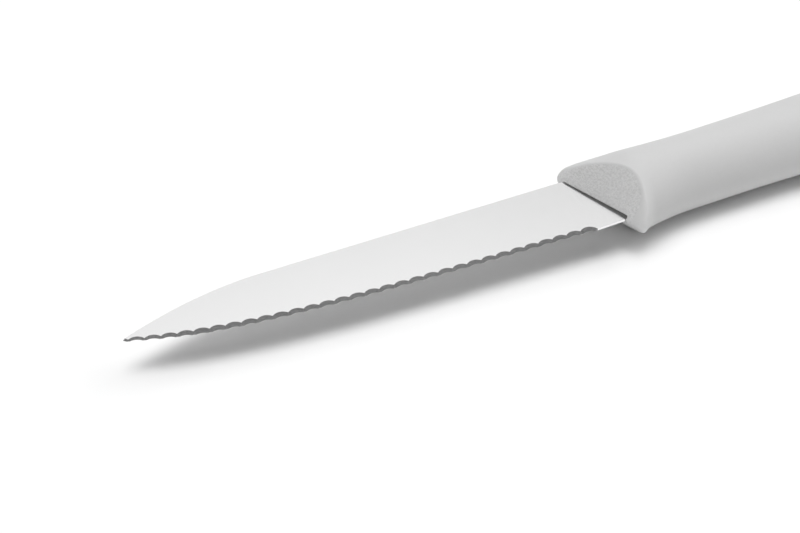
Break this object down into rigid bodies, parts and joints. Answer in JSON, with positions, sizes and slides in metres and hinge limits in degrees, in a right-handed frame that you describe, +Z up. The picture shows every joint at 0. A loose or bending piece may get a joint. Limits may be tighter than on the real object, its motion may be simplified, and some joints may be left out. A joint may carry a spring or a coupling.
{
  "type": "serrated paring knife",
  "caption": "Serrated paring knife lying on its side: stamped steel blade with a scalloped edge, its tang held in a moulded white plastic handle with a finger guard.",
  "frame": {"origin": "on the surface that the knife lies on, under the middle of its box", "axes": "+X from the tip of the blade to the butt of the handle, +Y from the cutting edge to the spine, +Z up, square to the middle plane of the blade"},
  "size_m": [0.2068, 0.0224, 0.015],
  "materials": {
    "steel": "fine ground, along the blade",
    "plastic": "smooth, fine sand texture on the front face"
  },
  "bodies": {
    "root": {"blade": "steel", "handle": "plastic"}
  },
  "joints": []
}
